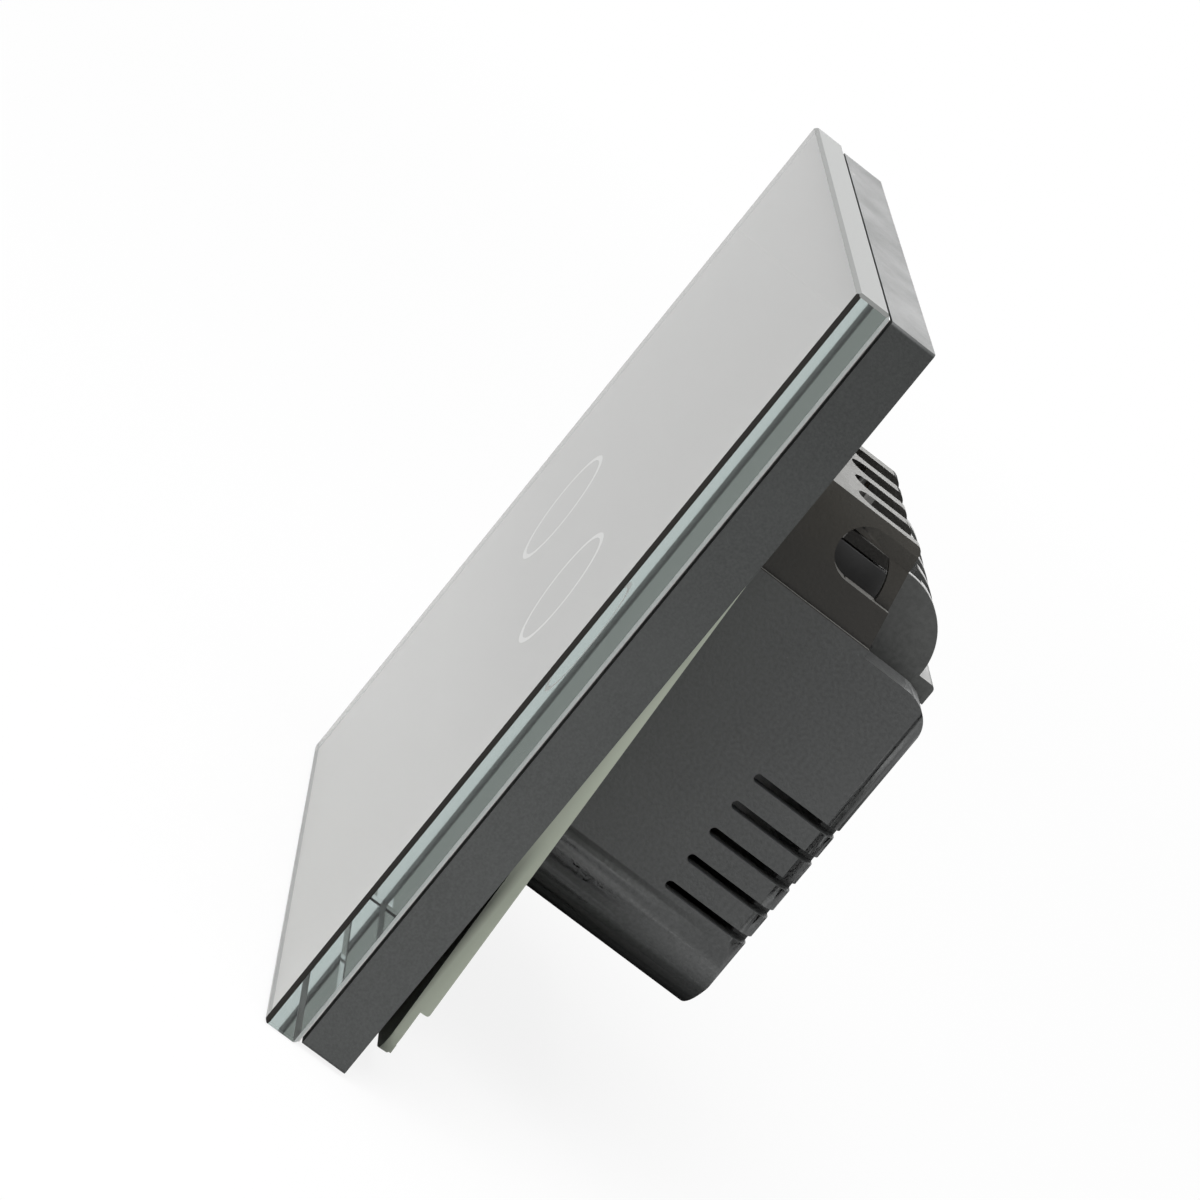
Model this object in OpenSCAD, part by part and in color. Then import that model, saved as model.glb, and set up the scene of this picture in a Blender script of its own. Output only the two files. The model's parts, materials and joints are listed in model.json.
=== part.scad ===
// Touch light switch with a glass front, a steel mounting plate and a moulded rear housing.
// Seen from the room: X to the right, Y into the wall, Z up, wall plane at Y = 0, in millimetres.

/* [Glass panel] */
// Side of the square glass
glass_w = 86; // [80:0.5:92]
// Thickness of the glass
glass_t = 3.7; // [3:0.1:5]
// Width of the ground arris round the glass
arris = 0.35; // [0.1:0.05:0.6]
// Thickness of the paint on the back of the glass
paint_t = 0.1; // [0.05:0.05:0.2]
// Thickness of the adhesive between the glass and the frame
tape_t = 0.3; // [0.2:0.05:0.4]
// Outer diameter of a touch ring
ring_d = 13; // [10:0.5:16]
// Width of the line of a touch ring
ring_line = 0.6; // [0.3:0.1:1.2]
// Distance between the centres of the two touch rings
ring_pitch = 31.2; // [26:0.2:36]

/* [Front frame] */
// How far the glass stands out past the frame on each side
glass_overhang = 0.35; // [0.1:0.05:0.6]
// Depth of the frame
frame_depth = 4.85; // [4.4:0.05:6]
// Thickness of the frame's rim
frame_wall = 2; // [1.6:0.1:2.2]
// Thickness of the ledge that carries the glass
ledge_t = 1.2; // [0.8:0.1:1.5]
// Width of that ledge inside the rim
ledge_w = 3.1; // [2.4:0.1:4]
// Width of each of the frame's four tongues
tongue_w = 6; // [4:0.5:8]
// Height of the tongues above and below the middle
tongue_z = 18; // [14:0.5:22]
// Thickness of a tongue
tongue_t = 1.5; // [1:0.1:2]

/* [Mounting plate] */
// Gap between the steel plate's left and right edges and the frame's rim
plate_gap_x = 0.65; // [0.3:0.05:2]
// Gap between its top and bottom edges, along its slope, and the rim
plate_gap_z = 0.35; // [0.3:0.05:2]
// Thickness of the steel
plate_t = 0.95; // [0.7:0.05:1.2]
// Lean of the plate against the glass, in degrees
plate_lean = 3.1; // [1.5:0.1:3.5]
// Place of the plate's front face at its middle
plate_y = -0.5; // [-0.8:0.05:0]
// Radius of the plate's corners
plate_r = 3; // [1:0.5:5]
// Depth of the folded lips behind the steel
lip_depth = 0.9; // [0.5:0.1:1.4]
// Length of the lips on the plate's left and right
lip_len = 69; // [50:1:72]
// Depth of the folded lips on the plate's top and bottom
end_lip_depth = 0.55; // [0.3:0.05:1]
// Distance between the two wall screws
screw_pitch = 60.3; // [58:0.1:62]
// Radius of the round ends of the wall screw slots
slot_r = 2.1; // [1.8:0.1:2.4]
// End-to-end length of a wall screw slot
slot_len = 8; // [5:0.5:9]
// Width of the plate's middle opening
hatch_w = 26; // [22:0.5:28]
// Height of the plate's middle opening
hatch_h = 22; // [18:0.5:24]

/* [Carrier and touch board] */
// Side of the square touch board
board_w = 60; // [56:0.5:60.5]
// Thickness of the touch board
board_t = 1; // [0.8:0.1:1.2]
// Radius of the touch board's corners
board_r = 1.5; // [0.5:0.1:3]
// Gap between the paint and the front of the touch board
board_gap = 0.65; // [0.5:0.05:0.8]
// Thickness of the carrier's web and walls
carrier_t = 1; // [0.8:0.1:1.2]
// Width of the carrier's wall round the board
carrier_wall = 1.35; // [1.1:0.05:1.6]
// Number of pins between the two boards
pin_count = 6; // [4:1:7]
// Distance between those pins
pin_pitch = 2; // [1.5:0.25:2.25]

/* [Rear housing] */
// Half the width of the housing
body_x = 24; // [23.5:0.1:24.6]
// Half the height of the housing
body_z = 25.3; // [25:0.1:26]
// Depth of the housing behind the wall plane
body_y = 25.7; // [24.5:0.1:28]
// Wall of the housing
body_wall = 1.6; // [1.2:0.1:1.8]
// Radius of the housing's two lower corners
body_r = 9.5; // [8.5:0.5:10]
// Rounding of the housing's rear edges
rear_r = 1.7; // [1:0.1:2.4]
// Rounding of the deep part's rear top edge
step_r = 4; // [2:0.5:5]
// Height at which the deep part of the housing ends
step_z = 13.9; // [13.7:0.05:14]
// Height at which the upper part's inset sides start
inset_z = 14.75; // [14.5:0.05:15]
// Depth of the upper part at the step
upper_y_low = 16.6; // [15.8:0.1:17]
// Depth of the upper part at its top
upper_y_high = 14.3; // [13.9:0.1:14.5]
// Rounding of the upper part's rear top edge at its right end
ear_r = 0.8; // [0.4:0.1:1.2]
// Rounding of that edge on the ribs between the wire channels
rib_r = 1.2; // [0.8:0.1:1.6]
// How much shorter those ribs are than the right end
rib_in = 0.55; // [0.3:0.05:0.8]
// How far the upper part's sides stand in
ear_inset = 0.4; // [0.2:0.05:0.6]
// Radius of the round front of the port in the right upper side wall
port_r = 2.9; // [2.6:0.05:3]
// Height of that round front's centre
port_z = 21.45; // [21.3:0.05:21.6]
// Depth of that round front's centre
port_y = 10.6; // [10.3:0.1:10.8]
// Depth at which the port's hole ends
port_rear = 14.05; // [13.6:0.05:14.2]
// Depth of the recess round the port
port_groove = 0.7; // [0.4:0.1:0.8]
// Height of the recess's sloping upper flank
port_flank = 1.75; // [1:0.05:2]
// Number of vent slots in a side wall
vent_count = 5; // [3:1:6]
// Distance between vent slots
vent_pitch = 3.33; // [3:0.01:3.6]
// Width of a vent slot
vent_w = 0.95; // [0.7:0.05:1.3]
// Height of the lowest vent slot
vent_z = -14.7; // [-15.5:0.1:-14]
// Depth at which the vent slots start
vent_y = 15.7; // [14:0.1:18]

/* [Terminals] */
// Number of terminals
way_count = 4; // [3:1:4]
// Distance between terminals
way_pitch = 6.35; // [6.2:0.05:6.45]
// Thickness of the barrier between terminals
barrier_t = 2.1; // [1.9:0.05:2.2]
// Middle of the barrier at the housing's right side
barrier_x = 22.95; // [22.8:0.05:23]
// Depth at which the wire channels start
channel_y = 6.9; // [6.6:0.1:7.2]
// Bottom of the wire channels
channel_z = 20.6; // [20.5:0.1:20.8]
// Height of the housing's low top beside the last barrier
notch_z = 20.1; // [19.8:0.1:20.3]
// Radius of the barriers' rounded rear
barrier_r = 6.8; // [6.6:0.05:7]
// Height of the foot that joins the barriers
comb_high = 14.6; // [14.4:0.05:14.8]
// Depth at which that foot ends
comb_rear = 25.1; // [24.6:0.1:25.3]
// Height of the terminal screws
screw_z = 17.2; // [17:0.1:17.4]
// Radius of a terminal screw's thread
thread_r = 1.45; // [1.3:0.05:1.5]
// Radius of a terminal screw's head
head_r = 1.9; // [1.8:0.05:1.95]
// Travel of a terminal clamp
clamp_travel = 2.4; // [1.8:0.1:2.4]

/* [Relays] */
// Length of a relay
relay_l = 20.5; // [19.5:0.1:20.6]
// Width of a relay
relay_w = 10.2; // [9.6:0.1:10.3]
// Height of a relay above its board
relay_h = 15.5; // [15:0.1:16.5]
// Wall of a relay's case
relay_wall = 0.7; // [0.5:0.05:0.8]
// Turn of an armature from open to closed, in degrees
armature_swing = 3.4; // [2.5:0.1:3.6]
// Thickness of the iron yoke and armature
iron_t = 0.9; // [0.7:0.05:1]

/* [Clearances] */
// Gap of the sliding fit between the tongues and the carrier
slide_gap = 0.05; // [0.02:0.01:0.1]
// Radial gap of a screw in its threaded or plain hole
turn_gap = 0.05; // [0.02:0.01:0.1]
// Gap between loosely fitted pieces
part_gap = 0.2; // [0.1:0.05:0.3]
// Gap between pieces that move past each other
move_gap = 0.3; // [0.2:0.05:0.4]

/* [Hidden] */
$fn = 48;
// Small extra that takes a cut past the face it opens
over = 0.5;
// Reach of a cut that only has to clear everything
far = 60;

// Places through the panel, front to back
tape_y = -frame_depth - tape_t;
paint_y = tape_y - paint_t;
front_y = paint_y - glass_t;
frame_in = glass_w / 2 - glass_overhang - frame_wall;
ledge_in = frame_in - ledge_w;
plate_w = 2 * (frame_in - plate_gap_x);
plate_h = 2 * (frame_in - plate_gap_z);
board_front = tape_y + board_gap;
board_rear = board_front + board_t;
web_rear = board_rear + carrier_t;
pad_front = tape_y + part_gap;
carrier_half = board_w / 2 + part_gap + carrier_wall;
ring_x = [for (side = [-1, 1]) side * ring_pitch / 2];

// Corners of the plate's hatch, and the heads of the screws that hold the plate
hatch_r = 2;
lip_r = 0.3;
plate_screw_head = 2.1;
plate_screw_head_t = 1.2;
plate_screw_slot = 0.5;
plate_screw_reach = 2;
sheet_bite = 0.15;

// Keyways in the carrier's sides for the frame's tongues
key_depth = 0.35;
key_w = tongue_w + 2 * part_gap;
tongue_in = carrier_half - key_depth + slide_gap;
tongue_end = web_rear + 0.4;
wall_screw_head = 4.5;

// Power board and what stands on it
power_t = 1.6;
power_front = 3.5;
power_rear = power_front + power_t;
inner_x = body_x - body_wall;
inner_z = body_z - body_wall;
inner_y = body_y - body_wall;
rim_front = -2;
boss_low = 2.4;
boss_high = 1.9;
boss_bore = 1.05;
boss_depth = 9;
boss_z = 13;
deep_top = step_z - body_wall;
port_rear_r = 6.2;
boss_bite = 0.3;
corner_reach = (body_r - body_wall + boss_bite - boss_low) / sqrt(2);
boss_at = [
    [inner_x - boss_low + boss_bite, boss_z],
    [-inner_x + boss_low - boss_bite, boss_z],
    [body_x - body_r + corner_reach, -body_z + body_r - corner_reach],
    [-body_x + body_r - corner_reach, -body_z + body_r - corner_reach]
];

// Terminals: barrier k is at barrier_x - k * way_pitch, and the first channel has no terminal
channel_w = way_pitch - barrier_t;
function barrier_at(k) = barrier_x - k * way_pitch;
function way_at(k) = barrier_at(k) - way_pitch / 2;
block_right = barrier_at(1) + barrier_t / 2;
block_left = barrier_at(way_count + 1) - barrier_t / 2;
notch_right = barrier_at(way_count) - barrier_t / 2;
block_wall = 1;
block_foot = 1.5;
block_low = step_z - block_foot;
block_high = channel_z - part_gap;
block_rear = 17.8;
block_roof = 1;
cage_rise = 2.1;
cage_drop = 0.7;
cage_low = block_low + cage_rise;
cage_high = block_high - cage_drop;
cage_front = 7.9;
cage_floor = 0.7;
cage_roof = 1.2;
cage_side = 0.45;
cage_half = channel_w / 2 - part_gap / 2;
cage_rear = block_rear - block_roof - part_gap - clamp_travel;
bar_t = 0.8;
bar_rear = cage_rear - cage_roof - part_gap;
screw_tip = bar_rear + 0.1;
head_front = block_rear + 0.1;
head_t = 1.6;
mouth_low = 8.4;
mouth_high = 13;
comb_low = deep_top + part_gap;
comb_r = 0.5;
barrier_mid_y = 16.3;
barrier_mid_z = 14.9;
cheek_t = barrier_t / 2;
cheek_front = 15.4;
shoulder_x = 19.5;
shoulder_step = 0.6;
terminal_slot = 0.6;
bar_leg_half = 0.6;
bar_leg_z = block_low + block_wall + 0.1;

// Relays, lying one above the other
relay_x = -inner_x + 0.9;
relay_z = [5.2, -5.5];
hinge_l = relay_l - relay_wall - 1.4;
hinge_h = 12;
armature_l = 11;
coil_l = 12.2;
coil_r = 3.7;
coil_low = 2.2;
coil_high = 10.6;
core_r = 1.3;
contact_r = 0.9;
contact_l = 3;
contact_lift = 0.15;
relay_foot = 0.3;
relay_r = 0.6;
base_t = 1.2;
base_rise = 6.2;
flange_t = 0.7;
flange_out = 0.4;
iron_half = 3.2;
rest_gap = 0.05;
blade_half = 1.5;
blade_t = 0.4;
button_t = 0.25;
leaf_t = 0.25;
leaf_half = 2;
arm_strip_half = 1.6;
arm_strip_t = 0.4;
function drop_at(l) = (hinge_l - l) * tan(armature_swing);

// Helpers: boxes by their limits, and prisms and rods along each axis
module slab(x0, x1, y0, y1, z0, z1) {
    translate([x0, y0, z0])
        cube([x1 - x0, y1 - y0, z1 - z0]);
}

module prism_x(x0, x1) {
    translate([x0, 0, 0])
        rotate([90, 0, 90])
            linear_extrude(x1 - x0)
                children();
}

module prism_y(y0, y1) {
    translate([0, y1, 0])
        rotate([90, 0, 0])
            linear_extrude(y1 - y0)
                children();
}

module prism_z(z0, z1) {
    translate([0, 0, z0])
        linear_extrude(z1 - z0)
            children();
}

module rod_y(r, y0, y1, x = 0, z = 0) {
    translate([x, y0, z])
        rotate([-90, 0, 0])
            cylinder(h = y1 - y0, r = r);
}

module rod_x(r, x0, x1, y = 0, z = 0) {
    translate([x0, y, z])
        rotate([0, 90, 0])
            cylinder(h = x1 - x0, r = r);
}

// Corner cutter: what is left of a square corner when it is rounded to r
module bite(x, y, sx, sy, r) {
    difference() {
        translate([min(x - sx * over, x + sx * r), min(y - sy * over, y + sy * r)])
            square(r + over);
        translate([x + sx * r, y + sy * r])
            circle(r);
    }
}

// Rectangle with one radius on its low corners and another on its high corners
module plot(x0, x1, y0, y1, r_low, r_high) {
    difference() {
        translate([x0, y0])
            square([x1 - x0, y1 - y0]);
        if (r_low > 0) {
            bite(x0, y0, 1, 1, r_low);
            bite(x1, y0, -1, 1, r_low);
        }
        if (r_high > 0) {
            bite(x0, y1, 1, -1, r_high);
            bite(x1, y1, -1, -1, r_high);
        }
    }
}

// Rounded rectangle about the middle, given by half its sides
module round_plot(half_w, half_h, r) {
    plot(-half_w, half_w, -half_h, half_h, r, r);
}

// Rectangle about the middle with cut corners
module chamfered(w, h, c) {
    polygon([
        [-w / 2 + c, -h / 2], [w / 2 - c, -h / 2], [w / 2, -h / 2 + c], [w / 2, h / 2 - c],
        [w / 2 - c, h / 2], [-w / 2 + c, h / 2], [-w / 2, h / 2 - c], [-w / 2, -h / 2 + c]
    ]);
}

// The mounting plate's own axes: its front face is at 0 and its back at plate_t
module on_plate() {
    translate([0, plate_y, 0])
        rotate([plate_lean, 0, 0])
            children();
}

// All the space in front of the plate, or all the space behind it
module before_plate() {
    on_plate()
        slab(-far, far, -far, 0, -far, far);
}

module behind_plate() {
    on_plate()
        slab(-far, far, plate_t, far, -far, far);
}

// Depth of the plate's front face at a height
function plate_front(z) = plate_y - z * tan(plate_lean);

// Glass panel
module glass_panel() {
    color([0.78, 0.8, 0.79])
        intersection() {
            prism_y(front_y, paint_y)
                chamfered(glass_w, glass_w, arris);
            translate([0, (front_y + paint_y) / 2, 0])
                prism_x(-far, far)
                    chamfered(glass_t, glass_w, arris);
            translate([0, (front_y + paint_y) / 2, 0])
                prism_z(-far, far)
                    chamfered(glass_w, glass_t, arris);
        }
}

module ring(x, y0, y1, r_out, r_in) {
    difference() {
        rod_y(r_out, y0, y1, x);
        rod_y(r_in, y0 - over, y1 + over, x);
    }
}

module back_paint() {
    half = glass_w / 2 - arris;
    color([0.52, 0.52, 0.5])
        difference() {
            slab(-half, half, paint_y, tape_y, -half, half);
            for (x = ring_x)
                ring(x, paint_y - over, tape_y + over, ring_d / 2, ring_d / 2 - ring_line);
        }
}

module touch_ring_windows() {
    color([0.88, 0.88, 0.84])
        for (x = ring_x)
            ring(x, paint_y, tape_y, ring_d / 2, ring_d / 2 - ring_line);
}

module glass_adhesive() {
    outer = frame_in + frame_wall / 2;
    color([0.12, 0.12, 0.12])
        difference() {
            slab(-outer, outer, tape_y, -frame_depth, -outer, outer);
            slab(-ledge_in, ledge_in, tape_y - over, far, -ledge_in, ledge_in);
        }
}

// Front frame: rim, ledge for the glass and four tongues that grip the carrier
module front_frame() {
    outer = frame_in + frame_wall;
    color([0.27, 0.28, 0.28])
        union() {
            difference() {
                prism_y(-frame_depth, 0)
                    plot(-outer, outer, -outer, outer, arris, arris);
                slab(-frame_in, frame_in, -frame_depth + ledge_t, over, -frame_in, frame_in);
                slab(-ledge_in, ledge_in, -frame_depth - over, far, -ledge_in, ledge_in);
            }
            for (side = [-1, 1], level = [-1, 1])
                tongue(side, level * tongue_z);
        }
}

module tongue(side, z) {
    root = tongue_in + tongue_t;
    z0 = z - tongue_w / 2;
    z1 = z + tongue_w / 2;
    mirror([side < 0 ? 1 : 0, 0, 0])
        union() {
            slab(tongue_in, root, -frame_depth, tongue_end, z0, z1);
            slab(root - over, ledge_in + over, -frame_depth, -frame_depth + ledge_t, z0, z1);
        }
}

// Mounting plate: leaning steel sheet with folded lips, slots for the wall screws and a hatch
module mounting_plate() {
    half_w = plate_w / 2;
    half_h = plate_h / 2;
    color([0.59, 0.61, 0.57])
        difference() {
            on_plate()
                union() {
                    prism_y(0, plate_t)
                        plot(-half_w, half_w, -half_h, half_h, plate_r, plate_r);
                    for (side = [-1, 1])
                        side_lip(side);
                    for (side = [-1, 1])
                        end_lip(side);
                }
            for (side = [-1, 1])
                wall_slot(side * screw_pitch / 2);
            on_plate()
                prism_y(-over, plate_t + over)
                    round_plot(hatch_w / 2, hatch_h / 2, hatch_r);
            for (p = boss_at)
                rod_y(boss_bore + 2 * part_gap, -far, far, p[0], p[1]);
        }
}

module side_lip(side) {
    x1 = plate_w / 2;
    mirror([side < 0 ? 1 : 0, 0, 0])
        prism_x(x1 - plate_t, x1)
            plot(plate_t / 2, plate_t + lip_depth, -lip_len / 2, lip_len / 2, lip_r, lip_r);
}

module end_lip(side) {
    z1 = plate_h / 2;
    reach = plate_w / 2 - plate_r;
    mirror([0, 0, side < 0 ? 1 : 0])
        slab(-reach, reach, plate_t / 2, plate_t + end_lip_depth, z1 - plate_t, z1);
}

module wall_slot(x) {
    run = slot_len / 2 - slot_r;
    for (end = [-run, run])
        rod_y(slot_r, -far, far, x + end);
    slab(x - run, x + run, -far, far, -slot_r, slot_r);
}

// Screws that hold the plate to the housing
module plate_screws() {
    color([0.75, 0.75, 0.74])
        for (p = boss_at)
            plate_screw(p[0], p[1]);
}

module plate_screw(x, z) {
    seat = plate_front(z) - sheet_bite;
    head = seat - plate_screw_head_t;
    difference() {
        union() {
            rod_y(plate_screw_head, head, seat, x, z);
            rod_y(boss_bore - turn_gap, seat - over, power_front + plate_screw_reach, x, z);
        }
        slab(x - plate_screw_slot / 2, x + plate_screw_slot / 2, head - over,
            head + plate_screw_head_t / 2, z - far, z + far);
    }
}

// Carrier: tray for the touch board with a sloped rear that seats on the plate
module front_carrier() {
    half = carrier_half;
    bed = board_w / 2 + part_gap;
    room = half - carrier_wall;
    window_w = hatch_w / 2 - carrier_t - part_gap;
    window_h = hatch_h / 2 - carrier_t - part_gap;
    collar_rear = plate_y + plate_t + hatch_h / 2 * tan(plate_lean) + over;
    color([0.2, 0.2, 0.2])
        union() {
            intersection() {
                before_plate();
                difference() {
                    slab(-half, half, board_front, far, -half, half);
                    slab(-bed, bed, board_front - over, board_rear, -bed, bed);
                    slab(-room, room, web_rear, far, -room, room);
                    slab(-window_w, window_w, -far, far, -window_h, window_h);
                    for (p = boss_at)
                        rod_y(plate_screw_head + move_gap, board_rear - over, far, p[0], p[1]);
                    for (side = [-1, 1])
                        wall_screw_room(side);
                    for (side = [-1, 1], level = [-1, 1])
                        keyway(side, level * tongue_z);
                }
            }
            prism_y(board_rear, collar_rear)
                difference() {
                    round_plot(window_w + carrier_t, window_h + carrier_t, hatch_r - part_gap);
                    round_plot(window_w, window_h, hatch_r - part_gap - carrier_t / 2);
                }
        }
}

// Room at the carrier's sides for the heads of the wall screws
module wall_screw_room(side) {
    mirror([side < 0 ? 1 : 0, 0, 0])
        slab(screw_pitch / 2 - slot_len / 2, far, web_rear - over, far,
            -wall_screw_head, wall_screw_head);
}

module keyway(side, z) {
    mirror([side < 0 ? 1 : 0, 0, 0])
        slab(carrier_half - key_depth, far, -far, far, z - key_w / 2, z + key_w / 2);
}

// Touch board and what is on it
module touch_board() {
    half = board_w / 2;
    color([0.1, 0.3, 0.2])
        difference() {
            prism_y(board_front, board_rear)
                round_plot(half, half, board_r);
            for (k = [0:pin_count - 1])
                pin_cut(k, board_front - over, board_rear + over);
        }
}

// Pins, their holder and their socket between the two boards
header_x = 7;
header_t = 1.5;
header_half = 1.1;
socket_half = 1.4;
socket_front = 0.7;
socket_floor = 0.4;
pin_half = 0.3;
pin_stub = 0.15;
function pin_z(k) = (k - (pin_count - 1) / 2) * pin_pitch;

module pin_cut(k, y0, y1) {
    rod_y(pin_half * sqrt(2) + turn_gap, y0, y1, header_x, pin_z(k));
}

// Light guides behind the rings, and the lamps set in them
guide_out = ring_d / 2 + 0.4;
guide_in = ring_d / 2 - ring_line - 1;
led_l = 1.6;
led_w = 0.8;
led_t = 0.35;
led_gap = 0.1;

module touch_pads() {
    color([0.72, 0.45, 0.2])
        for (x = ring_x)
            rod_y(guide_in - part_gap, pad_front, board_front, x);
}

module led_sites(x) {
    for (turn = [0:90:270])
        translate([x, 0, 0])
            rotate([0, turn + 45, 0])
                translate([(guide_out + guide_in) / 2, 0, 0])
                    children();
}

module ring_light_guides() {
    color([0.9, 0.9, 0.86])
        for (x = ring_x)
            difference() {
                ring(x, pad_front, board_front, guide_out, guide_in);
                led_sites(x)
                    slab(-led_w / 2 - led_gap, led_w / 2 + led_gap,
                        board_front - led_t - led_gap / 2, far,
                        -led_l / 2 - led_gap, led_l / 2 + led_gap);
            }
}

module indicator_leds() {
    color([0.95, 0.9, 0.6])
        for (x = ring_x)
            led_sites(x)
                slab(-led_w / 2, led_w / 2, board_front - led_t, board_front,
                    -led_l / 2, led_l / 2);
}

// Flat chip on a board's rear face, with a row of legs on each long side
chip_w = 3.9;
chip_h = 1.5;
chip_lift = 0.15;
chip_step = 1.2;
touch_chip_legs = 8;
leg_out = 0.8;
leg_t = 0.4;

module chip(x, y, z, length, height, legs) {
    step = length / legs;
    out = chip_w / 2 + leg_out;
    translate([x, y, z])
        union() {
            slab(-chip_w / 2, chip_w / 2, chip_lift, height, -length / 2, length / 2);
            for (k = [0:legs - 1])
                translate([0, 0, (k + 0.5) * step - length / 2])
                    slab(-out, out, 0, leg_t, -step / 5, step / 5);
        }
}

module touch_chip() {
    color([0.08, 0.08, 0.08])
        chip(-header_x / 2, board_rear, 0, touch_chip_legs * chip_step, chip_h, touch_chip_legs);
}

module header_body() {
    half_z = pin_count * pin_pitch / 2;
    color([0.06, 0.06, 0.06])
        difference() {
            slab(header_x - header_half, header_x + header_half, board_rear,
                board_rear + header_t, -half_z, half_z);
            for (k = [0:pin_count - 1])
                pin_cut(k, board_rear - over, board_rear + header_t + over);
        }
}

module header_pins() {
    color([0.83, 0.68, 0.3])
        for (k = [0:pin_count - 1])
            slab(header_x - pin_half, header_x + pin_half, board_front - pin_stub,
                power_front - socket_floor - pin_stub, pin_z(k) - pin_half, pin_z(k) + pin_half);
}

module header_socket() {
    half_z = pin_count * pin_pitch / 2;
    color([0.08, 0.08, 0.08])
        difference() {
            slab(header_x - socket_half, header_x + socket_half, socket_front, power_front,
                -half_z, half_z);
            for (k = [0:pin_count - 1])
                pin_cut(k, socket_front - over, power_front - socket_floor);
        }
}

// Outline of the space inside the housing, seen from the front
module inner_outline(inset) {
    plot(-inner_x + inset, inner_x - inset, -inner_z + inset, inner_z - inset,
        body_r - body_wall - inset, 0);
}

module power_board() {
    color([0.12, 0.33, 0.2])
        difference() {
            prism_y(power_front, power_rear)
                inner_outline(part_gap);
            for (p = boss_at)
                rod_y(boss_high + part_gap, 0, far, p[0], p[1]);
        }
}

// Rear housing
module back_housing() {
    color([0.28, 0.29, 0.29])
        difference() {
            intersection() {
                behind_plate();
                union() {
                    difference() {
                        housing_outside();
                        housing_room();
                    }
                    housing_bosses();
                }
            }
            for (p = boss_at)
                rod_y(boss_bore, -far, power_front + boss_depth, p[0], p[1]);
            terminal_room();
            wire_channels();
            for (side = [-1, 1])
                side_vents(side);
            comb_room();
            port();
        }
}

module housing_outside() {
    intersection() {
        prism_y(rim_front, far)
            plot(-body_x, body_x, -body_z, step_z, body_r, 0);
        prism_x(-far, far)
            plot(-far, body_y, -body_z, step_z, 0, step_r);
        prism_z(-far, far)
            plot(-body_x, body_x, -far, body_y, 0, rear_r);
    }
    upper_part();
}

// The upper part is shallower, its rear slopes forward to the top and its sides stand in
module upper_part() {
    slope = (upper_y_low - upper_y_high) / (body_z - step_z);
    prism_x(way_at(0), body_x - ear_inset)
        rounded_side(slope, 0, ear_r);
    prism_x(-body_x + ear_inset, body_x - ear_inset)
        rounded_side(slope, rib_in, rib_r);
    prism_x(-body_x, body_x)
        upper_side(inset_z, slope, 0);
}

// Side view of the whole upper part, shorter by a length, with its rear top edge rounded
module rounded_side(slope, short, r) {
    difference() {
        upper_side(body_z, slope, short);
        bite(upper_y_high - short + r * slope, body_z, -1, -1, r);
    }
}

// Side view of the upper part up to a height, shorter by a length
module upper_side(top, slope, short) {
    low = upper_y_low - short;
    polygon([
        [rim_front, step_z - over], [low, step_z - over], [low, step_z],
        [low - (top - step_z) * slope, top], [rim_front, top]
    ]);
}

module housing_room() {
    intersection() {
        prism_y(-far, far)
            inner_outline(0);
        prism_z(-far, far)
            plot(-inner_x, inner_x, -far, inner_y, 0, rear_r / 2);
        union() {
            prism_x(-far, far)
                plot(-far, inner_y, -inner_z, deep_top, 0, step_r - body_wall);
            slab(-far, far, -far, power_rear + part_gap, -inner_z, inner_z);
        }
    }
    slab(-inner_x, block_left - block_wall, -far, upper_y_high - body_wall,
        deep_top - over, notch_z - body_wall);
}

module housing_bosses() {
    for (p = boss_at) {
        depth = p[1] > 0 ? upper_y_high : inner_y + over;
        rod_y(boss_low, power_rear, depth, p[0], p[1]);
        rod_y(boss_high, rim_front, power_rear + over, p[0], p[1]);
    }
}

// Pocket for the terminal block, open to the rear
module terminal_room() {
    x0 = block_left - part_gap;
    x1 = block_right + part_gap;
    slab(x0, x1, power_rear, block_rear + turn_gap, block_low - part_gap, channel_z);
    slab(x0, x1, power_rear, far, step_z, channel_z);
}

// Channels in the top for the wires, with a round front end, and the low top beside them
module wire_channels() {
    for (k = [0:way_count - 1])
        channel(way_at(k), k == 0 ? port_z - port_r - 1 : channel_z - over);
    slab(-far, notch_right, channel_y, far, notch_z, far);
}

module channel(x, low) {
    half = channel_w / 2;
    translate([x, channel_y + half, low])
        cylinder(h = far, r = half);
    slab(x - half, x + half, channel_y + half, far, low, far);
}

// Vents of one side wall
module side_vents(side) {
    mirror([side < 0 ? 1 : 0, 0, 0])
        for (k = [0:vent_count - 1])
            vent(vent_z + k * vent_pitch);
}

// Room for the foot of the barriers in the top of the deep part, with a low step beside it
module comb_room() {
    slab(block_left - part_gap, block_right + part_gap, block_rear, far, deep_top, far);
    slab(block_right, shoulder_x, upper_y_low, far, step_z - shoulder_step, far);
}

module vent(z) {
    r = vent_w / 2;
    x0 = inner_x - 1;
    rod_x(r, x0, body_x + over, vent_y + r, z);
    slab(x0, body_x + over, vent_y + r, far, z - r, z + r);
}

// Port: a hole in a recess that runs on to the rear edge; the upper flank slopes out
module port() {
    face = body_x - ear_inset;
    floor_x = face - port_groove;
    low = port_z - port_r;
    high = port_z + port_r;
    intersection() {
        prism_x(floor_x, face + over)
            port_side();
        prism_y(0, far)
            polygon([
                [floor_x, low], [face + over, low], [face + over, high], [face, high],
                [floor_x, high - port_flank]
            ]);
    }
    prism_x(way_at(0), face)
        intersection() {
            port_side();
            translate([port_rear - port_rear_r, low])
                circle(port_rear_r);
            translate([0, low])
                square([far, high - port_flank - low]);
        }
}

// Side view of the recess: round in front, straight to the rear
module port_side() {
    translate([port_y, port_z])
        circle(port_r);
    translate([port_y, port_z - port_r])
        square([far, 2 * port_r]);
}

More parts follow.
